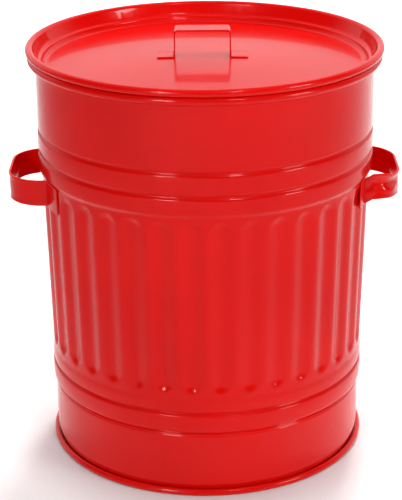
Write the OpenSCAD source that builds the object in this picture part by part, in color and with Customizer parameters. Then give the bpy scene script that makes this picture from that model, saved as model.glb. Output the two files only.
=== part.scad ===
// Steel bin with a fluted wall, a wired mouth and foot, two strap handles and a plug lid.
// Millimetres. The origin is at the centre of the foot, on the ground. +Z is up, the side
// handles are on +X and -X, and a flute land faces the front, -Y.

/* [Overall] */
// Height of the centre of the mouth bead above the ground
mouth_h = 530.5; // [430:0.5:650]
// Outer radius of the plain wall above the flutes
wall_r = 218; // [175:0.5:270]
// How much smaller the foot skirt's radius is than the wall's
taper = 11.5; // [6:0.5:20]
// Thickness of the sheet steel
sheet = 0.8; // [0.5:0.1:1.2]

/* [Mouth and upper swages] */
// Outer radius of the curled bead round the mouth
mouth_curl_r = 5.5; // [4:0.1:8]
// Distance from the mouth bead's centre down to the upper swage
ring_drop = 91.5; // [70:0.5:120]
// Distance between the two upper swages
ring_pitch = 30; // [20:0.5:40]
// Distance from the second of them down to the shoulder above the flutes
shoulder_drop = 23; // [15:0.5:30]
// Depth of the upper swages
ring_depth = 3; // [2:0.1:5]
// Half the width of an upper swage
ring_half = 4.5; // [3:0.5:7]

/* [Flutes] */
// Number of flutes round the wall
flute_count = 36; // [24:2:40]
// Depth of a flute
flute_depth = 4; // [2.5:0.1:5]
// Width of the land between two flutes
land_w = 8; // [5:0.5:12]
// How far the fluted part stands in from the plain wall at its top
flute_step = 3.5; // [2:0.1:5]
// How far the lands stand out from the foot skirt at the bottom of the flutes
flute_foot_out = 1.8; // [1:0.1:4]
// Height over which the wall steps in below the shoulder
shoulder_run = 4; // [2:0.5:6]
// Distance from the foot of that step down to the heads of the flutes
flute_drop = 4; // [2:0.5:10]
// Distance from the upper of the lower swages up to the feet of the flutes
flute_lift = 26; // [18:0.5:34]
// Plain wall left beyond the flutes' feet before it widens into the band below
flute_spare = 10; // [6:0.5:12]

/* [Foot] */
// Height of the foot skirt
skirt_h = 85.5; // [60:0.5:110]
// Outer radius of the curled bead round the foot
foot_curl_r = 4.6; // [3.5:0.1:6]
// How far the foot bead is centred outside the skirt
foot_curl_out = 0.8; // [0.4:0.1:1.5]
// Depth of the flat worn on the underside of the foot bead
foot_flat = 0.3; // [0.1:0.1:0.6]
// Half the width of the swage over the skirt's edge
skirt_ring_half = 3; // [2:0.5:5]
// Half the width of the swage above that one
low_ring_half = 4; // [3:0.5:6]
// Distance between these two lower swages
low_pitch = 28; // [20:0.5:36]
// Depth of the lower swages
low_depth = 3.6; // [2:0.1:5]
// How far the lower bands stand out from the foot skirt
low_band_out = 2.8; // [1:0.1:5]
// Height over which the upper of these bands narrows to the fluted part
band_run = 6; // [4:0.5:8]

/* [Bottom pan] */
// Height of the bottom pan's floor above the ground
pan_h = 30; // [20:1:50]
// Height of the pan's upturned flange
pan_flange = 16; // [10:0.5:24]
// Radius of the bend between the pan's floor and its flange
pan_bend = 7; // [3:0.5:9]
// How far the wall reaches down past the pan's floor, inside the skirt
wall_lap = 8; // [4:0.5:14]

/* [Side handles] */
// How far a handle's outer face stands out from the plain wall
handle_reach = 38; // [28:1:60]
// Distance between the two legs of a handle, centre to centre
handle_span = 136; // [100:1:180]
// Radius of the bend at each outer corner of a handle
handle_corner = 44; // [20:1:50]
// Length of a handle's foot along the wall
handle_foot = 46; // [25:1:60]
// Width of the handle strap, top to bottom
strap_w = 33; // [24:1:45]
// Thickness of the handle strap
strap_t = 1.6; // [1:0.1:2.5]
// Height of the rolled edges of the handle strap
hem_h = 3; // [2:0.1:5]
// Distance from the foot of the shoulder's step down to the top edge of a handle
handle_drop = 1; // [0.5:0.5:20]
// Clearance under the feet of all three handles, which their welds take up
weld_gap = 0.2; // [0.15:0.05:0.4]

/* [Lid] */
// Outer radius of the curled bead round the lid
lid_curl_r = 5; // [4:0.1:7]
// How far the lid's bead is centred outside the mouth's
lid_overhang = 2.3; // [0:0.1:4]
// Free play between the lid's bead and the mouth's
lid_gap = 0.3; // [0.2:0.1:1]
// Radial play between the lid's plug and the mouth
plug_play = 1.2; // [0.6:0.1:3]
// Depth of the panel's edge below the lid bead's centre
lid_depth = 20; // [16:0.5:40]
// Width of the stepped ledge round the panel
ledge_w = 7; // [4:0.5:12]
// Height of the ledge above the panel's edge
ledge_h = 7; // [4:0.5:12]
// Size of the bends at the ledge's two edges
ledge_bend = 1.5; // [0.8:0.1:2]
// Rise of the panel's centre above its edge
dome_rise = 6; // [2:0.5:12]

/* [Lid handle] */
// Outer width of the lid handle's loop
lift_w = 75; // [60:1:110]
// Height of the lid handle above the panel
lift_h = 36; // [26:1:50]
// Width of the lid handle's strap
lift_strap = 28; // [18:1:36]
// Thickness of the lid handle's strap
lift_t = 1.8; // [1.2:0.1:3]
// Length of each foot of the lid handle
lift_foot = 22; // [14:1:32]
// Radius of the bends at the top of the lid handle
lift_bend = 5; // [3:0.5:10]
// How far the lid handle sits off the lid's centre, to the left
lift_shift = 3; // [0:0.5:6]

/* [Hidden] */
$fn = 96;
curl_steps = 30;
bend_steps = 6;
corner_steps = 10;
dome_steps = 16;

paint = "#d8160f";
wire_steel = "#9a9da0";

// Radii of the wall
skirt_r = wall_r - taper;
lap_r = skirt_r - sheet;
low_band_r = skirt_r + low_band_out;
cone_foot_r = skirt_r + flute_foot_out;
cone_head_r = wall_r - flute_step;
mouth_curl_c = wall_r - sheet + mouth_curl_r;
foot_curl_c = skirt_r + foot_curl_out;

// Heights up the wall
shell_base = pan_h - wall_lap;
foot_curl_h = foot_curl_r - foot_flat;
skirt_ring = skirt_h + skirt_ring_half;
low_ring = skirt_ring + low_pitch;
flute_foot = low_ring + flute_lift;
cone_foot = flute_foot - flute_spare;
upper_ring = mouth_h - ring_drop;
second_ring = upper_ring - ring_pitch;
shoulder = second_ring - shoulder_drop;
cone_head = shoulder - shoulder_run;
flute_head = cone_head - flute_drop;
rim_base = mouth_h - 2 * mouth_curl_r;

// Flutes: each is the mark of a bar with tapered ends, laid along the tapered wall
cone_slope = (cone_head_r - cone_foot_r) / (flute_head - cone_foot);
cone_tilt = atan(cone_slope);
flute_mid = (flute_foot + flute_head) / 2;
flute_mid_r = cone_foot_r + cone_slope * (flute_mid - cone_foot);
flute_w = 2 * PI * flute_mid_r / flute_count - land_w;
flute_bite = flute_depth - flute_w * flute_w / (8 * flute_mid_r);
bar_r = (flute_w * flute_w / 4 + flute_bite * flute_bite) / (2 * flute_bite);
bar_end = sqrt(flute_depth * (2 * bar_r - flute_depth));
bar_run = flute_head - flute_foot - 2 * bar_end;

// Side handles
handle_mid = cone_head - handle_drop - strap_w / 2;
handle_seat_r = cone_foot_r + cone_slope * (handle_mid - cone_foot) + weld_gap + strap_t / 2;
handle_out = wall_r + handle_reach - strap_t / 2;
leg_angle = asin(handle_span / 2 / handle_seat_r);
foot_angle = leg_angle + handle_foot / handle_seat_r * 180 / PI;
hem_t = 2 * strap_t;

// Lid
lid_curl_c = mouth_curl_c + lid_overhang;
lid_curl_h = mouth_h + sqrt(pow(mouth_curl_r + lid_curl_r + lid_gap, 2) - pow(lid_overhang, 2));
plug_r = wall_r - sheet - plug_play - sheet / 2;
panel_r = plug_r - ledge_w;
panel_edge_h = lid_curl_h - lid_depth;
panel_top_h = panel_edge_h + dome_rise;

// Points along an arc about c, from angle a0 to a1
function arc(c, r, a0, a1, steps) =
    [for (i = [0:steps]) c + r * [cos(a0 + (a1 - a0) * i / steps), sin(a0 + (a1 - a0) * i / steps)]];

// A path from the X axis outwards, with its mirror image before it
function both_halves(half) = concat(
    [for (i = [len(half) - 1:-1:1]) [half[i].x, -half[i].y]], half);

// Unit vector, and the vector that moves a corner so that both its edges move by one
function unit(v) = v / norm(v);
function left_of(v) = [-v.y, v.x];
function corner_shift(path, i) =
    let (last = len(path) - 1,
         before = unit(path[max(i, 1)] - path[max(i, 1) - 1]),
         after = unit(path[min(i + 1, last)] - path[min(i + 1, last) - 1]),
         middle = unit(before + after))
    left_of(middle) / (middle * before);

// Outline of a sheet of thickness t whose middle follows a path
function sheet_outline(path, t) = concat(
    [for (i = [0:len(path) - 1]) path[i] + corner_shift(path, i) * t / 2],
    [for (i = [len(path) - 1:-1:0]) path[i] - corner_shift(path, i) * t / 2]);

// Sheet steel turned about Z, with its middle following a path
module turned_sheet(path) {
    rotate_extrude()
        polygon([for (p = sheet_outline(path, sheet)) [max(p.x, 0), p.y]]);
}

// Shape of the wall: its radius at a height
function swage(z, at, half, depth) =
    abs(z - at) < half ? depth * (1 + cos(180 * (z - at) / half)) / 2 : 0;
function shell_r(z) =
    lookup(z, [[skirt_h, lap_r], [skirt_ring + low_ring_half, low_band_r],
               [cone_foot - band_run, low_band_r], [cone_foot, cone_foot_r],
               [cone_head, cone_head_r + cone_slope * (cone_head - flute_head)],
               [shoulder, wall_r], [mouth_h, wall_r]])
    - swage(z, skirt_ring, skirt_ring_half, low_depth)
    - swage(z, low_ring, low_ring_half, low_depth)
    - swage(z, second_ring, ring_half, ring_depth)
    - swage(z, upper_ring, ring_half, ring_depth);

// Heights at which the wall's outline has points
function levels(at, half) = [for (i = [-4:4]) at + half * i / 4];
lower_levels = concat([shell_base, skirt_h], levels(skirt_ring, skirt_ring_half),
    [skirt_ring + low_ring_half], levels(low_ring, low_ring_half),
    [cone_foot - band_run, cone_foot]);
upper_levels = concat([cone_head, shoulder], levels(second_ring, ring_half),
    levels(upper_ring, ring_half), [rim_base]);

// Plain wall between two levels
module wall_band(band_levels) {
    outer = [for (z = band_levels) [shell_r(z), z]];
    rotate_extrude()
        polygon(concat(outer, [for (i = [len(outer) - 1:-1:0]) outer[i] - [sheet, 0]]));
}

// Solid cone inside the outer or inner face of the fluted wall, with its ends drawn out by extra
module cone_solid(inset, extra) {
    low = cone_foot_r - inset;
    high = shell_r(cone_head) - inset;
    rotate_extrude()
        polygon([[0, cone_foot - extra], [low, cone_foot - extra], [low, cone_foot],
                 [high, cone_head], [high, cone_head + extra], [0, cone_head + extra]]);
}

// Bar of radius r with tapered ends, standing on Z about its middle. The tapers go twice as
// deep and twice as far as the part of them that marks the wall.
module bar(r) {
    point = r - 2 * flute_depth;
    reach = bar_run / 2 + 2 * bar_end;
    rotate_extrude()
        polygon([[0, -reach], [point, -reach], [r, -bar_run / 2], [r, bar_run / 2],
                 [point, reach], [0, reach]]);
}

// The sides of the bars that press the flutes; deeper ones shape the inside of the sheet
module flute_bars(extra) {
    side = [bar_r, flute_w + land_w / 2, 2 * (flute_head - flute_foot)];
    for (i = [0:flute_count - 1])
        rotate([0, 0, (i + 0.5) * 360 / flute_count])
            translate([flute_mid_r + bar_r - flute_depth, 0, flute_mid])
                rotate([0, cone_tilt, 0])
                    intersection() {
                        bar(bar_r + extra);
                        translate([-bar_r, 0, 0]) cube(side, center = true);
                    }
}

// Path of a sheet's edge curled outwards over a wire, from its wall round to its free end
function curl_path(at, r) = arc(at, r - sheet / 2, 180, -130, curl_steps);

module edge_wire(at, r) {
    color(wire_steel)
        rotate_extrude()
            translate(at) circle(r);
}

module body_shell() {
    color(paint) {
        wall_band(lower_levels);
        difference() {
            cone_solid(0, 0);
            flute_bars(0);
            difference() {
                cone_solid(sheet, 1);
                flute_bars(sheet);
            }
        }
        wall_band(upper_levels);
        turned_sheet(concat([[wall_r - sheet / 2, rim_base]],
            curl_path([mouth_curl_c, mouth_h], mouth_curl_r)));
    }
}

module mouth_wire() {
    edge_wire([mouth_curl_c, mouth_h], mouth_curl_r - sheet);
}

module bottom_pan() {
    rim = lap_r - sheet - sheet / 2;
    bend = arc([rim - pan_bend, pan_h + pan_bend], pan_bend, -90, 0, bend_steps);
    color(paint)
        turned_sheet(concat([[0, pan_h]], bend, [[rim, pan_h + pan_flange]]));
}

module foot_skirt() {
    curl_top = foot_curl_h + foot_curl_r;
    color(paint) {
        rotate_extrude()
            translate([lap_r, curl_top - sheet])
                square([sheet, skirt_h - curl_top + sheet]);
        intersection() {
            rotate_extrude()
                translate([foot_curl_c, foot_curl_h])
                    difference() {
                        circle(foot_curl_r);
                        circle(foot_curl_r - sheet);
                        translate([-foot_curl_r, foot_curl_r / 2])
                            square(foot_curl_r, center = true);
                    }
            cylinder(h = skirt_h, r = wall_r);
        }
    }
}

module foot_wire() {
    edge_wire([foot_curl_c, foot_curl_h], foot_curl_r - sheet);
}

// Half of a handle's line in plan: its loop from the middle of the grip to the wall, and its foot
function grip_half() = concat([[handle_out, 0]],
    arc([handle_out - handle_corner, handle_span / 2 - handle_corner], handle_corner, 0, 90,
        corner_steps),
    [[handle_seat_r * cos(leg_angle), handle_span / 2]]);
function foot_half() = [for (i = [1:bend_steps])
    let (a = leg_angle + (foot_angle - leg_angle) * i / bend_steps)
    handle_seat_r * [cos(a), sin(a)]];

// Strap handle on the +X side
module strap_handle() {
    loop = grip_half();
    strap_line = both_halves(concat(loop, foot_half()));
    hem_line = both_halves([for (i = [0:len(loop) - 2]) loop[i]]);
    color(paint)
        translate([handle_seat_r, 0, handle_mid])
            rotate([0, cone_tilt, 0])
                translate([-handle_seat_r, 0, -strap_w / 2]) {
                    linear_extrude(strap_w) polygon(sheet_outline(strap_line, strap_t));
                    linear_extrude(hem_h) polygon(sheet_outline(hem_line, hem_t));
                    translate([0, 0, strap_w - hem_h])
                        linear_extrude(hem_h) polygon(sheet_outline(hem_line, hem_t));
                }
}

module right_handle() {
    strap_handle();
}

module left_handle() {
    mirror([1, 0, 0]) strap_handle();
}

// Height of the middle of the panel's sheet at a radius: domed, and level at its edge
function dome_h(r) = panel_edge_h + dome_rise * pow(1 - pow(r / panel_r, 2), 2);

module lid_pan() {
    panel = [for (i = [0:dome_steps]) let (r = panel_r * i / dome_steps) [r, dome_h(r)]];
    ledge_top = panel_edge_h + ledge_h;
    ledge = [[panel_r + ledge_bend, ledge_top - ledge_bend / 2],
             [panel_r + 2 * ledge_bend, ledge_top],
             [plug_r - ledge_bend, ledge_top + ledge_bend / 3],
             [plug_r, ledge_top + 2 * ledge_bend], [plug_r, mouth_h]];
    color(paint)
        turned_sheet(concat(panel, ledge, curl_path([lid_curl_c, lid_curl_h], lid_curl_r)));
}

module lid_rim_wire() {
    edge_wire([lid_curl_c, lid_curl_h], lid_curl_r - sheet);
}

// Half of the lid handle's line seen from the front, from the top of its leg to its foot's end;
// side is 1 for the half towards +X and -1 for the other
lift_top = panel_top_h + sheet / 2 + lift_h - lift_t / 2;
function lift_half(side) =
    let (out = lift_w / 2 - lift_t / 2,
         seat = sheet / 2 + weld_gap + lift_t / 2,
         bend = arc([out - lift_bend, lift_top - lift_bend], lift_bend, 90, 0, bend_steps),
         foot = [for (i = [0:bend_steps / 2]) out + 2 * lift_foot * i / bend_steps])
    concat([for (p = bend) [side * p.x - lift_shift, p.y]],
           [for (x = foot) let (at = side * x - lift_shift) [at, dome_h(at) + seat]]);

module lid_handle() {
    left = lift_half(-1);
    color(paint)
        translate([0, lift_strap / 2, 0])
            rotate([90, 0, 0])
                linear_extrude(lift_strap)
                    polygon(sheet_outline(concat([for (i = [len(left) - 1:-1:0]) left[i]],
                        lift_half(1)), lift_t));
}

body_shell();
mouth_wire();
bottom_pan();
foot_skirt();
foot_wire();
left_handle();
right_handle();
lid_pan();
lid_rim_wire();
lid_handle();
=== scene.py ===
"""Looks of the fluted steel dustbin: sheet-metal pieces, gloss paint, light and camera."""
from math import asin, atan2, cos, exp, hypot, pi, radians, sin

import bmesh
import bpy
from mathutils import Matrix, Vector


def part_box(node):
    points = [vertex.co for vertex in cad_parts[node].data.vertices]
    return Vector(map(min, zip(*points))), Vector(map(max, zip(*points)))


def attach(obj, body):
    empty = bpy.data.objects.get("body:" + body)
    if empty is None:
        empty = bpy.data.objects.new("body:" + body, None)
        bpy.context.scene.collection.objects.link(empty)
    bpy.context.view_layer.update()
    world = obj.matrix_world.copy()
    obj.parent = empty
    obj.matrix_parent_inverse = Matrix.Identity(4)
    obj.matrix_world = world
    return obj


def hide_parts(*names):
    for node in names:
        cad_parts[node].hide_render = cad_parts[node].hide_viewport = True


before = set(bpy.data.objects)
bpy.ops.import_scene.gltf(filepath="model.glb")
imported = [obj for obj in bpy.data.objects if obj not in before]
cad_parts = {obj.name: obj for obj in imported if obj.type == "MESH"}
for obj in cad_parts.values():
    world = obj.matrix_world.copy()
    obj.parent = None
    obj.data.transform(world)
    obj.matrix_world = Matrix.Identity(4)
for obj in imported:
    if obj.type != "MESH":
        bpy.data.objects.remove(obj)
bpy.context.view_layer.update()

MM = 0.001

# ---------------------------------------------------------------- sizes taken from the frame


def ring_of_wire(node):
    """Centre radius, centre height and thickness radius of a round wire bent into a ring."""
    low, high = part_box(node)
    thick = (high.z - low.z) / 2
    return high.x - thick, low.z + thick, thick


mouth_r, mouth_h, mouth_wire_r = ring_of_wire("mouth_wire")
lid_rim_r, lid_rim_h, lid_wire_r = ring_of_wire("lid_rim_wire")
foot_r, _, foot_wire_r = ring_of_wire("foot_wire")

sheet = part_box("body_shell")[1].z - mouth_h - mouth_wire_r
wall_r = mouth_r - mouth_wire_r
skirt_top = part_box("foot_skirt")[1].z
# The band's outer face lies inside the foot wire's middle line, by a sixth of the curl's radius.
skirt_r = foot_r - (foot_wire_r + sheet) / 6
lap_r = skirt_r - sheet
shell_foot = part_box("body_shell")[0].z
handle_low, handle_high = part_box("right_handle")
panel_edge_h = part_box("lid_pan")[0].z + sheet
lift_low, lift_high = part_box("lid_handle")

# ---------------------------------------------------------------- shapes pressed in the sheet

FLUTES = 36
STEPS_PER_FLUTE = 12
FLUTE_DEPTH = 4.0 * MM
FLUTE_ROUND = 13 * MM
FLUTE_RUN = 11 * MM

# Swages and the shoulder. A groove's two numbers are its half width and its depth.
UPPER_RING = mouth_h - 91.5 * MM
SECOND_RING = UPPER_RING - 30 * MM
UPPER_GROOVE = (3.5 * MM, 2.6 * MM)
SHOULDER = SECOND_RING - 23 * MM
LOW_RING = skirt_top + 3 * MM
LOW_GROOVE = (3 * MM, 3.6 * MM)
MID_RING = LOW_RING + 28 * MM
MID_GROOVE = (3.5 * MM, 3.2 * MM)
BAND_CROWN = 0.8 * MM
SHOULDER_CROWN = 0.6 * MM

# The cone that the flutes are pressed in, from the shoulder down to the band over the foot.
CONE_HEAD = SHOULDER - 4 * MM
CONE_HEAD_R = wall_r - 3.5 * MM
FLUTE_HEAD = CONE_HEAD - 4 * MM
FLUTE_FOOT = MID_RING + 26 * MM
CONE_FOOT = FLUTE_FOOT - 6 * MM
CONE_FOOT_R = skirt_r + 1.8 * MM
LOW_BAND_HEAD = FLUTE_FOOT - 12 * MM
LOW_BAND_FOOT = LOW_RING + 3.5 * MM
LOW_BAND_R = skirt_r + 2.8 * MM


def ease(t):
    """Smooth step from 0 to 1."""
    t = min(max(t, 0.0), 1.0)
    return t * t * (3 - 2 * t)


def between(pairs, z):
    """Value at z of a line that runs straight from each (z, value) pair to the next."""
    if z <= pairs[0][0]:
        return pairs[0][1]
    for (z0, v0), (z1, v1) in zip(pairs, pairs[1:]):
        if z <= z1:
            return v0 + (v1 - v0) * (z - z0) / (z1 - z0)
    return pairs[-1][1]


def groove(z, at, half, depth):
    """Depth, at height z, of a groove with a rounded bottom that is pressed in at a height."""
    t = abs(z - at) / half
    return depth * (1 + cos(pi * t)) / 2 if t < 1 else 0.0


def band(z, low, high, rise):
    """How far a band between two swages is crowned outwards."""
    t = (z - low) / (high - low)
    return rise * sin(pi * t) if 0 < t < 1 else 0.0


def wall_radius(z):
    """Outer radius of the wall at a height, on the land between two flutes."""
    plain = [(skirt_top, lap_r), (LOW_BAND_FOOT, LOW_BAND_R), (LOW_BAND_HEAD, LOW_BAND_R),
             (CONE_FOOT, CONE_FOOT_R), (CONE_HEAD, CONE_HEAD_R), (SHOULDER, wall_r),
             (mouth_h, wall_r)]
    radius = between(plain, z)
    radius -= groove(z, LOW_RING, *LOW_GROOVE) + groove(z, MID_RING, *MID_GROOVE)
    radius -= groove(z, SECOND_RING, *UPPER_GROOVE) + groove(z, UPPER_RING, *UPPER_GROOVE)
    radius += band(z, LOW_RING, MID_RING, BAND_CROWN)
    radius += band(z, SECOND_RING, UPPER_RING, BAND_CROWN)
    radius += band(z, CONE_HEAD, SECOND_RING, SHOULDER_CROWN)
    return radius


def flute_depth(angle, z):
    """How far a flute is pressed in at an angle about Z and a height."""
    phase = (angle * FLUTES / (2 * pi)) % 1.0
    across = 2 * abs(phase - 0.5)
    trough = (1 + cos(pi * across)) / 2
    head = (FLUTE_HEAD - FLUTE_ROUND * across ** 2 - z) / FLUTE_RUN
    foot = (z - FLUTE_FOOT - FLUTE_ROUND * across ** 2) / FLUTE_RUN
    return FLUTE_DEPTH * trough * ease(head) * ease(foot)


def spread(low, high, count):
    """Heights from low up to, but not with, high."""
    return [low + (high - low) * i / count for i in range(count)]


def wall_heights():
    """Heights of the rings of points up the wall, closer together where it is pressed."""
    overlap = 1 * MM
    near_low_ring = 4 * MM
    near_upper_ring = 6 * MM
    below_flutes = 13 * MM
    flute_end = 26 * MM
    above_shoulder = 2 * MM
    stops = [(shell_foot, 2), (skirt_top - overlap, 9), (LOW_RING + near_low_ring, 4),
             (MID_RING - near_low_ring, 8), (MID_RING + near_low_ring, 2),
             (FLUTE_FOOT - below_flutes, 15), (FLUTE_FOOT + flute_end, 9),
             (FLUTE_HEAD - flute_end, 15), (SHOULDER + above_shoulder, 4),
             (SECOND_RING - near_upper_ring, 8), (SECOND_RING + near_upper_ring, 3),
             (UPPER_RING - near_upper_ring, 8), (UPPER_RING + near_upper_ring, 3), (mouth_h, 0)]
    heights = []
    for (low, count), (high, _) in zip(stops, stops[1:]):
        heights += spread(low, high, count)
    return heights


# ---------------------------------------------------------------- mesh work


def arc(centre, radius, start, end, steps):
    """Points along an arc, from one angle in degrees to another."""
    turns = [radians(start + (end - start) * i / steps) for i in range(steps + 1)]
    return [(centre[0] + radius * cos(a), centre[1] + radius * sin(a)) for a in turns]


def rounded(points, radius, steps=4):
    """A line of points with each inner corner rounded off, over about this radius."""
    line = [points[0]]
    for before, corner, after in zip(points, points[1:], points[2:]):
        here = Vector(corner)
        back, on = Vector(before) - here, Vector(after) - here
        reach = min(radius, back.length * 0.45, on.length * 0.45)
        start, end = here + back.normalized() * reach, here + on.normalized() * reach
        for i in range(steps + 1):
            t = i / steps
            line.append(tuple(start * (1 - t) ** 2 + here * 2 * t * (1 - t) + end * t ** 2))
    return line + [points[-1]]


def turned(outline, steps):
    """Surface made by turning an outline of (radius, height) points about Z."""
    bm = bmesh.new()
    verts = [bm.verts.new((r, 0, z)) for r, z in outline]
    edges = [bm.edges.new(pair) for pair in zip(verts, verts[1:])]
    bmesh.ops.spin(bm, geom=verts + edges, cent=(0, 0, 0), axis=(0, 0, 1), angle=2 * pi,
                   steps=steps, use_merge=True)
    bmesh.ops.remove_doubles(bm, verts=bm.verts, dist=0.01 * MM)
    return bm


def face_way(bm, towards):
    """Turns the faces so that, taken together, they face the way that towards gives."""
    bmesh.ops.recalc_face_normals(bm, faces=bm.faces)
    facing = sum(f.normal.dot(towards(f.calc_center_median())) * f.calc_area() for f in bm.faces)
    if facing < 0:
        bmesh.ops.reverse_faces(bm, faces=bm.faces)


def face_out(bm, sample):
    """Turns the faces so that a sample one, on a plain wall, faces away from the Z axis."""
    bmesh.ops.recalc_face_normals(bm, faces=bm.faces)
    if sample.normal.dot(outward(sample.calc_center_median())) < 0:
        bmesh.ops.reverse_faces(bm, faces=bm.faces)


def outward(point):
    """Direction from the Z axis to a point."""
    return Vector((point.x, point.y, 0)).normalized()


def upward(point):
    """The same direction, up, for every point."""
    return Vector((0, 0, 1))


def piece(name, bm, body, material, stands_for, thickness=None, bevel=None):
    """Makes the finished object of a mesh, gives it its sheet thickness and lets it ride a body."""
    mesh = bpy.data.meshes.new(name)
    bm.to_mesh(mesh)
    bm.free()
    for face in mesh.polygons:
        face.use_smooth = True
    made = bpy.data.objects.new(name, mesh)
    bpy.context.scene.collection.objects.link(made)
    mesh.materials.append(material)
    if thickness:
        wall = made.modifiers.new("sheet", "SOLIDIFY")
        wall.thickness = thickness
        wall.offset = -1
        wall.use_even_offset = True
    if bevel:
        edge = made.modifiers.new("edge", "BEVEL")
        edge.width = bevel
        edge.segments = 2
        edge.limit_method = "ANGLE"
        edge.angle_limit = radians(50)
    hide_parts(stands_for)
    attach(made, body)


# ---------------------------------------------------------------- materials


class Finish:
    """A Principled material with a few helpers for its nodes."""

    def __init__(self, name):
        self.material = bpy.data.materials.new(name)
        self.material.use_nodes = True
        self.tree = self.material.node_tree
        self.shader = self.tree.nodes["Principled BSDF"]
        self.place = self.tree.nodes.new("ShaderNodeTexCoord").outputs["Object"]

    def set(self, **values):
        """Sets sockets of the shader, with _ for each space in a socket's name."""
        for socket, value in values.items():
            self.shader.inputs[socket.replace("_", " ")].default_value = value

    def drive(self, **sources):
        """Feeds sockets of the shader from other nodes, named as in set."""
        for socket, source in sources.items():
            self.tree.links.new(source, self.shader.inputs[socket.replace("_", " ")])

    def node(self, kind, **values):
        """Adds a node and sets its sockets, named as in set."""
        made = self.tree.nodes.new(kind)
        for socket, value in values.items():
            made.inputs[socket.replace("_", " ")].default_value = value
        return made

    def noise(self, scale, detail=2.0):
        """Noise of so many lumps to the metre."""
        made = self.node("ShaderNodeTexNoise", Scale=scale, Detail=detail)
        self.tree.links.new(self.place, made.inputs["Vector"])
        return made.outputs["Fac"]

    def spread(self, fac, low, high):
        """A value that goes from low to high as fac goes from 0 to 1."""
        made = self.node("ShaderNodeMapRange", To_Min=low, To_Max=high)
        self.tree.links.new(fac, made.inputs["Value"])
        return made.outputs["Result"]

    def tones(self, fac, dark, light):
        """A colour between two tones."""
        made = self.node("ShaderNodeValToRGB")
        for stop, place, tone in zip(made.color_ramp.elements, (0.3, 0.7), (dark, light)):
            stop.position = place
            stop.color = (*tone, 1)
        self.tree.links.new(fac, made.inputs["Fac"])
        return made.outputs["Color"]

    def relief(self, height, distance, strength, under=None):
        """Bumps of a height pattern, over those of another relief where one is given."""
        made = self.node("ShaderNodeBump", Distance=distance, Strength=strength)
        self.tree.links.new(height, made.inputs["Height"])
        if under is not None:
            self.tree.links.new(under, made.inputs["Normal"])
        return made.outputs["Normal"]


def gloss_paint():
    """Red stoving paint over sheet steel: wet gloss, fine orange peel and a faint waviness."""
    paint = Finish("red_gloss_paint")
    paint.set(Metallic=0.0, IOR=1.5, Specular_IOR_Level=0.1)
    paint.set(Coat_Weight=0.25, Coat_Roughness=0.03, Coat_IOR=1.5)
    deep, bright = (0.66, 0.0022, 0.0012), (0.74, 0.0035, 0.002)
    paint.drive(Base_Color=paint.tones(paint.noise(6.0, 3.0), deep, bright))
    paint.drive(Roughness=paint.spread(paint.noise(40.0), 0.16, 0.26))
    waves = paint.relief(paint.noise(14.0, 1.0), 0.6 * MM, 0.35)
    peel = paint.relief(paint.noise(420.0, 2.0), 0.02 * MM, 0.5, waves)
    paint.drive(Normal=peel, Coat_Normal=peel)
    return paint.material


def drawn_wire():
    """Bright drawn steel wire with a fine grain."""
    steel = Finish("drawn_steel_wire")
    steel.set(Metallic=1.0)
    dull, bright = (0.42, 0.42, 0.43), (0.62, 0.62, 0.64)
    steel.drive(Base_Color=steel.tones(steel.noise(180.0, 4.0), dull, bright))
    steel.drive(Roughness=steel.spread(steel.noise(300.0), 0.25, 0.45))
    steel.drive(Normal=steel.relief(steel.noise(900.0), 0.02 * MM, 0.5))
    return steel.material


RED = gloss_paint()
STEEL = drawn_wire()

# ---------------------------------------------------------------- bin

# Where the curls end, in degrees round their wires.
CURL_END = -130
FOOT_CURL_END = 455
CURL_STEPS = 18
PAN_STEPS = 144
ROUND_STEPS = 288
PAN_BEND = 7 * MM
PAN_RING_STARTS = (58 * MM, 138 * MM)
PAN_RING_RUN = 6 * MM
PAN_RING_W = 20 * MM
PAN_RING_RISE = 2.5 * MM
BAND_LIP = 1.2 * MM
BAND_LIP_H = 2 * MM
BAND_ROWS = (70 * MM, 50 * MM, 30 * MM, 16 * MM)


def make_body_shell():
    """The rolled wall with its swages, flutes and the curl round the mouth wire."""
    outline = [(wall_radius(z), z) for z in wall_heights()]
    outline += arc((mouth_r, mouth_h), mouth_wire_r, 180, CURL_END, CURL_STEPS)
    bm = turned(outline, FLUTES * STEPS_PER_FLUTE)
    for vert in bm.verts:
        x, y, z = vert.co
        if FLUTE_FOOT < z < FLUTE_HEAD:
            pressed = 1 - flute_depth(atan2(y, x), z) / hypot(x, y)
            vert.co.x, vert.co.y = x * pressed, y * pressed
    face_out(bm, next(f for f in bm.faces if f.calc_center_median().z < FLUTE_FOOT))
    piece("fluted_wall", bm, "bin", RED, "body_shell", sheet)


def make_bottom_pan():
    """The pressed floor, with two stiffening rings, inside the foot of the wall."""
    low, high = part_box("bottom_pan")
    rim = high.x - sheet
    floor = low.z + sheet
    outline = [(0, floor)]
    for start in PAN_RING_STARTS:
        end = start + PAN_RING_W
        crest = floor + PAN_RING_RISE
        outline += [(start, floor), (start + PAN_RING_RUN, crest), (end - PAN_RING_RUN, crest),
                    (end, floor)]
    outline = rounded(outline, 4 * MM)
    outline += arc((rim - PAN_BEND, floor + PAN_BEND), PAN_BEND, -90, 0, 8)
    outline.append((rim, high.z))
    bm = turned(outline, PAN_STEPS)
    face_way(bm, upward)
    piece("floor_pan", bm, "bin", RED, "bottom_pan", sheet)


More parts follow.
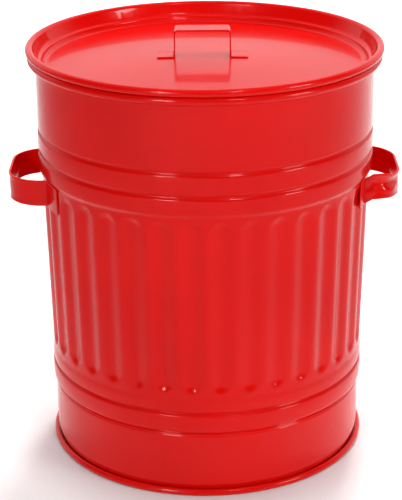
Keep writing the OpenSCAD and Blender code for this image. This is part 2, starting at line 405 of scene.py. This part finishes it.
def make_foot_skirt():
    """The band round the foot, with its edge curled over the foot wire."""
    bead_h = foot_wire_r + sheet
    outline = [(skirt_r - BAND_LIP, skirt_top), (skirt_r, skirt_top - BAND_LIP_H)]
    outline += [(skirt_r, z) for z in BAND_ROWS]
    outline = rounded(outline + [(foot_r - foot_wire_r, bead_h + 2 * MM)], 3 * MM)
    outline += arc((foot_r, bead_h), foot_wire_r, 180, FOOT_CURL_END, CURL_STEPS)
    bm = turned(outline, ROUND_STEPS)
    face_out(bm, max(bm.faces, key=lambda f: f.calc_center_median().z))
    piece("foot_band", bm, "bin", RED, "foot_skirt", sheet)


# ---------------------------------------------------------------- side handles

STRAP = 1.6 * MM
HANDLE_SPAN = 136 * MM
HANDLE_CORNER = 44 * MM
HANDLE_FOOT = 41 * MM
CRUSHED_FOOT = 20 * MM
WELD_GAP = 0.2 * MM
KNOCK_PRESS = 6 * MM
KNOCK_CREASE = 2.2 * MM
KNOCK_CREASE_RUN = 4.5 * MM
KNOCK_EDGE_LIFT = 3.5 * MM
KNOCK_LEG_LIFT = 5.5 * MM
KNOCK_SHIFT = 4 * MM
FOOT_STEPS = 14
CORNER_STEPS = 18
GRIP_STEPS = 4
LEG_BEND = 5 * MM
HEM_FADE = 7 * MM
HEM_SPARE = 0.3 * MM
HEM_OUT = 0.5 * MM
TILT = (CONE_HEAD_R - CONE_FOOT_R) / (CONE_HEAD - CONE_FOOT)

handle_mid = (handle_low.z + handle_high.z) / 2
strap_w = handle_high.z - handle_low.z - HEM_SPARE


def half_line(foot_length):
    """Half of the strap's middle line in plan, from the end of a foot to the middle of the grip."""
    seat = wall_radius(handle_mid) + WELD_GAP + STRAP / 2
    out = handle_high.x - STRAP - HEM_OUT
    leg = HANDLE_SPAN / 2
    leg_angle = asin(leg / seat)
    foot_angle = leg_angle + foot_length / seat
    wall_x = seat * cos(leg_angle)
    foot = [foot_angle + (leg_angle - foot_angle) * i / FOOT_STEPS for i in range(FOOT_STEPS)]
    half = [(seat * cos(a), seat * sin(a)) for a in foot]
    corner = (out - HANDLE_CORNER, leg - HANDLE_CORNER)
    loop = arc(corner, HANDLE_CORNER, 90, 0, CORNER_STEPS)
    half += rounded([half[-1], (wall_x, leg), loop[1]], LEG_BEND, 5)[1:-1] + loop[1:]
    return half + [(out, corner[1] * (1 - i / GRIP_STEPS)) for i in range(1, GRIP_STEPS + 1)]


def strap_section():
    """Closed outline across a strap with a rolled edge at its top and bottom."""
    low = arc((0, STRAP), STRAP, 200, 340, 8)
    right = [(STRAP / 2, 2 * STRAP)] + [(STRAP / 2, strap_w * i / 10) for i in range(2, 9)]
    right.append((STRAP / 2, strap_w - 2 * STRAP))
    return low + right + [(-x, strap_w - z) for x, z in low + right]


def make_handle(name, node, side, front_foot, dent):
    """A strap bent into a D in plan, with rolled edges that run out into flat feet."""
    line = half_line(HANDLE_FOOT) + [(x, -y) for x, y in reversed(half_line(front_foot)[:-1])]
    section = strap_section()
    bm = bmesh.new()
    ring = [bm.verts.new((out, 0, up)) for out, up in section]
    edges = [bm.edges.new((ring[i - 1], ring[i])) for i in range(len(ring))]
    ends = [edges]
    for i, (x, y) in enumerate(line):
        if i:
            grown = bmesh.ops.extrude_edge_only(bm, edges=edges)["geom"]
            fresh = {g for g in grown if isinstance(g, bmesh.types.BMVert)}
            ring = [next(e.other_vert(v) for e in v.link_edges if e.other_vert(v) in fresh)
                    for v in ring]
            edges = [g for g in grown if isinstance(g, bmesh.types.BMEdge)
                     and g.verts[0] in fresh and g.verts[1] in fresh]
        ahead = Vector(line[min(i + 1, len(line) - 1)]) - Vector(line[max(i - 1, 0)])
        normal = Vector((-ahead.y, ahead.x)).normalized()
        rolled = ease((hypot(x, y) - wall_r) / HEM_FADE)
        for vert, (out, up) in zip(ring, section):
            flat = max(min(out, STRAP / 2), -STRAP / 2)
            shift = normal * (flat + (out - flat) * rolled)
            rise = up - strap_w / 2
            vert.co = (x + shift.x + TILT * rise, y + shift.y, handle_mid + rise)
            dent(vert.co)
    ends.append(edges)
    for end in ends:
        bmesh.ops.contextual_create(bm, geom=end)
    if side < 0:
        bmesh.ops.scale(bm, vec=(-1, 1, 1), verts=bm.verts)
    bmesh.ops.recalc_face_normals(bm, faces=bm.faces)
    piece(name, bm, "bin", RED, node)


def no_dent(point):
    """Leaves a sound handle as it is."""


def swell(t, middle, width):
    """A smooth hump that is 1 in the middle and dies away over about a width to each side."""
    return exp(-((t - middle) / width) ** 2)


def knocked(point):
    """The knock that the right handle has taken round its front corner."""
    off_wall = ease((hypot(point.x, point.y) - wall_r + 2 * MM) / (8 * MM))
    front = ease((-20 * MM - point.y) / (30 * MM))
    outer = ease((point.x - wall_r - 6 * MM) / (26 * MM))
    up = (point.z - handle_low.z) / (handle_high.z - handle_low.z)
    along = (point.x - point.y) / KNOCK_CREASE_RUN
    inward = Vector((wall_r - point.x, -0.3 * point.y, 0)).normalized()
    press = KNOCK_PRESS * swell(up, 0.62, 0.17)
    crease = KNOCK_CREASE * swell(up, 0.3, 0.22) * sin(along)
    lift = KNOCK_EDGE_LIFT * (1 - up) * outer + KNOCK_LEG_LIFT * (1 - outer)
    point.x -= KNOCK_SHIFT * outer
    point += inward * (press + crease) * off_wall * front
    point.z += lift * off_wall * front


# ---------------------------------------------------------------- lid

DOME_RISE = 6 * MM
LEDGE_W = 7 * MM
LEDGE_H = 7 * MM
LEDGE_BEND = 1.5 * MM
PLUG_PLAY = 1.2 * MM
LID_CURL_STEPS = 20
LIFT = 1.8 * MM
LIFT_BEND = 5 * MM
LIFT_FOOT = 22 * MM
LIFT_FOOT_BEND = 3 * MM
LIFT_STRAP = 28 * MM
LIFT_ROWS = 8
LIFT_EDGE = 0.4 * MM
DOME_STEPS = 26

plug_r = wall_r - sheet - PLUG_PLAY - sheet
panel_r = plug_r - LEDGE_W


def dome(radius):
    """Height of the panel's upper face at a radius: domed, and level at its middle and edge."""
    return panel_edge_h + DOME_RISE * (1 - (radius / panel_r) ** 2) ** 2


def make_lid_pan():
    """The domed panel, its ledge, the plug wall and the curl over the rim wire."""
    radii = [panel_r * i / DOME_STEPS for i in range(DOME_STEPS + 1)]
    outline = [(radius, dome(radius)) for radius in radii]
    ledge_h = panel_edge_h + LEDGE_H
    step = [outline[-1], (panel_r + LEDGE_BEND, ledge_h - 1 * MM),
            (panel_r + 2 * LEDGE_BEND, ledge_h), (plug_r - LEDGE_BEND, ledge_h + 0.5 * MM),
            (plug_r, ledge_h + 2 * LEDGE_BEND), (plug_r, mouth_h + 1 * MM),
            (lid_rim_r - lid_wire_r - sheet, lid_rim_h)]
    outline = outline[:-1] + rounded(step, 2.5 * MM)[:-1]
    outline += arc((lid_rim_r, lid_rim_h), lid_wire_r + sheet, 180, CURL_END, LID_CURL_STEPS)
    bm = turned(outline, ROUND_STEPS)
    face_way(bm, upward)
    piece("lid_sheet", bm, "lid", RED, "lid_pan", sheet)


def make_lid_handle():
    """The bent flat strap that the lid is lifted by."""
    middle = (lift_low.x + lift_high.x) / 2
    out = (lift_high.x - lift_low.x) / 2 - LIFT_FOOT
    top = lift_high.z
    leg_foot = dome(out) + LIFT
    foot = [(out + LIFT_FOOT * i / 4, dome(out + LIFT_FOOT * i / 4) + LIFT) for i in (4, 3, 2, 1)]
    corner = [foot[-1], (out, leg_foot), (out, top)]
    half = foot[:-1] + rounded(corner, LIFT_FOOT_BEND)[:-1]
    half += [(out, leg_foot + (top - LIFT_BEND - leg_foot) * t) for t in (0.4, 0.7)]
    half += arc((out - LIFT_BEND, top - LIFT_BEND), LIFT_BEND, 0, 90, 8)
    half += [((out - LIFT_BEND) * (1 - t), top) for t in (0.33, 0.67)]
    line = half + [(0, top)] + [(-x, z) for x, z in reversed(half)]
    bm = bmesh.new()
    verts = [bm.verts.new((middle + x, -LIFT_STRAP / 2, z)) for x, z in line]
    edges = [bm.edges.new(pair) for pair in zip(verts, verts[1:])]
    for _ in range(LIFT_ROWS):
        grown = bmesh.ops.extrude_edge_only(bm, edges=edges)["geom"]
        moved = [g for g in grown if isinstance(g, bmesh.types.BMVert)]
        edges = [g for g in grown if isinstance(g, bmesh.types.BMEdge)]
        bmesh.ops.translate(bm, vec=(0, LIFT_STRAP / LIFT_ROWS, 0), verts=moved)
    face_way(bm, upward)
    piece("lid_grip", bm, "lid", RED, "lid_handle", LIFT, LIFT_EDGE)


make_body_shell()
make_bottom_pan()
make_foot_skirt()
make_handle("right_grip", "right_handle", 1, CRUSHED_FOOT, knocked)
make_handle("left_grip", "left_handle", -1, HANDLE_FOOT, no_dent)
make_lid_pan()
make_lid_handle()

for wire in ("mouth_wire", "foot_wire", "lid_rim_wire"):
    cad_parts[wire].data.materials.clear()
    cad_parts[wire].data.materials.append(STEEL)

# ---------------------------------------------------------------- floor, light and camera


CAMERA_PLACE = (0, -2.123, 1.091)
CAMERA_TILT = 68.57
CAMERA_ROLL = -0.4
MID_BIN = (0, 0, 0.3)


def aimed(made, place, aim):
    """Puts a lamp at a place, facing a point, and into the scene."""
    made.location = place
    made.rotation_euler = (Vector(aim) - Vector(place)).to_track_quat("-Z", "Y").to_euler()
    bpy.context.scene.collection.objects.link(made)


def make_floor():
    """A wide floor of plain pale paper."""
    bm = bmesh.new()
    bmesh.ops.create_circle(bm, cap_ends=True, segments=96, radius=12)
    mesh = bpy.data.meshes.new("studio_floor")
    bm.to_mesh(mesh)
    bm.free()
    floor = bpy.data.objects.new("studio_floor", mesh)
    bpy.context.scene.collection.objects.link(floor)
    paper = Finish("pale_paper")
    paper.set(Base_Color=(0.82, 0.82, 0.82, 1), Roughness=0.9, Specular_IOR_Level=0.1)
    mesh.materials.append(paper.material)


def soft_light(name, place, aim, size, power):
    """A rectangular soft box at a place, facing a point."""
    data = bpy.data.lights.new(name, "AREA")
    data.shape = "RECTANGLE"
    data.size, data.size_y = size
    data.energy = power
    aimed(bpy.data.objects.new(name, data), place, aim)


def floor_light(name, place, aim, cone, power):
    """A soft-edged pool of light on the floor, which the paint doesn't mirror."""
    data = bpy.data.lights.new(name, "SPOT")
    data.spot_size = radians(cone)
    data.spot_blend = 0.5
    data.shadow_soft_size = 0.5
    data.energy = power
    lamp = bpy.data.objects.new(name, data)
    lamp.visible_glossy = False
    aimed(lamp, place, aim)


def make_world():
    """White studio behind the bin, dim on the camera's side and brighter again overhead."""
    world = bpy.data.worlds.new("studio")
    world.use_nodes = True
    tree = world.node_tree
    place = tree.nodes.new("ShaderNodeTexCoord").outputs["Generated"]
    split = tree.nodes.new("ShaderNodeSeparateXYZ")
    tree.links.new(place, split.inputs["Vector"])
    brighter = tree.nodes.new("ShaderNodeMath")
    brighter.operation = "MAXIMUM"
    behind = ("Y", 0.1, 0.6, 0.05, 1.0)
    overhead = ("Z", 0.5, 0.9, 0.0, 0.35)
    for (axis, start, full, dim, bright), into in zip((behind, overhead), brighter.inputs):
        ramp = tree.nodes.new("ShaderNodeMapRange")
        ramp.interpolation_type = "SMOOTHSTEP"
        ramp.inputs["From Min"].default_value = start
        ramp.inputs["From Max"].default_value = full
        ramp.inputs["To Min"].default_value = dim
        ramp.inputs["To Max"].default_value = bright
        tree.links.new(split.outputs[axis], ramp.inputs["Value"])
        tree.links.new(ramp.outputs["Result"], into)
    tree.links.new(brighter.outputs["Value"], tree.nodes["Background"].inputs["Color"])
    bpy.context.scene.world = world


def make_camera():
    """The camera, a little above the lid and looking down at the middle of the bin."""
    data = bpy.data.cameras.new("view")
    data.sensor_width = 36
    data.lens = 122.1
    data.shift_x = -0.0103
    camera = bpy.data.objects.new("view", data)
    camera.location = CAMERA_PLACE
    tilt = Matrix.Rotation(radians(CAMERA_TILT), 4, "X")
    roll = Matrix.Rotation(radians(CAMERA_ROLL), 4, "Z")
    camera.rotation_euler = (tilt @ roll).to_euler()
    bpy.context.scene.collection.objects.link(camera)
    bpy.context.scene.camera = camera


make_floor()
make_world()
soft_light("window_left", (-1.5, -3.1, 1.35), MID_BIN, size=(0.8, 0.7), power=46)
soft_light("skylight", (0.9, -2.2, 2.6), MID_BIN, size=(0.4, 0.3), power=12)
soft_light("window_right", (3.0, -1.75, 1.35), MID_BIN, size=(0.9, 0.8), power=42)
floor_light("floor_behind", (0.6, 2.9, 2.6), (0.45, 1.8, 0), cone=68, power=620)
floor_light("overhead", (0, 0.1, 3.0), (0, 0, 0), cone=15, power=380)
make_camera()
bpy.context.scene.view_settings.view_transform = "Standard"
